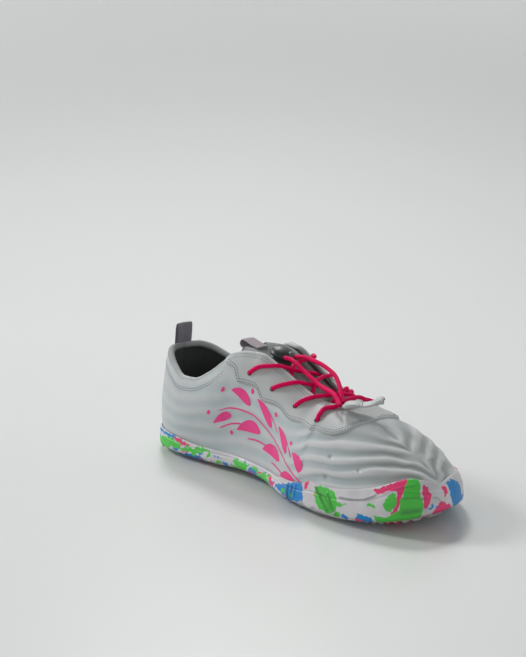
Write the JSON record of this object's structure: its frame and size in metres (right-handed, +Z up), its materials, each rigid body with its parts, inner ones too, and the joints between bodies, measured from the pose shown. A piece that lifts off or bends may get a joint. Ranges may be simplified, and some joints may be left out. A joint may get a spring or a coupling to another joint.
{
  "type": "barefoot shoe",
  "caption": "Low-cut barefoot shoe for the left foot: thin lugged cup sole, knit upper, eyestay overlay, elastic laces with a cord lock, tongue and heel loop.",
  "frame": {"origin": "middle of the shoe's footprint, on the floor", "axes": "+X to the toe, +Y to the outer side, +Z up"},
  "size_m": [0.262, 0.0996, 0.0864],
  "materials": {
    "sole_rubber": "satin, marbled in four colours",
    "insole_foam": "fabric-topped foam",
    "upper_fabric": "knit with wavy tone-on-tone bands",
    "overlay_film": "soft matte film",
    "lining_mesh": "open mesh",
    "webbing": "ribbed webbing",
    "lace_cord": "braided round elastic cord",
    "lock_plastic": "moulded, matte",
    "tab_film": "soft matte film"
  },
  "bodies": {
    "root": {"sole": "sole_rubber", "insole": "insole_foam", "upper": "upper_fabric", "eyestay": "overlay_film", "tongue": "lining_mesh", "tongue_loop": "webbing", "heel_loop": "webbing", "lace_crossing_1": "lace_cord", "lace_crossing_2": "lace_cord", "lace_crossing_3": "lace_cord", "lace_bar": "lace_cord", "lace_end_low": "lace_cord", "lace_end_high": "lace_cord", "cord_lock": "lock_plastic", "pull_tab": "tab_film"}
  },
  "joints": []
}
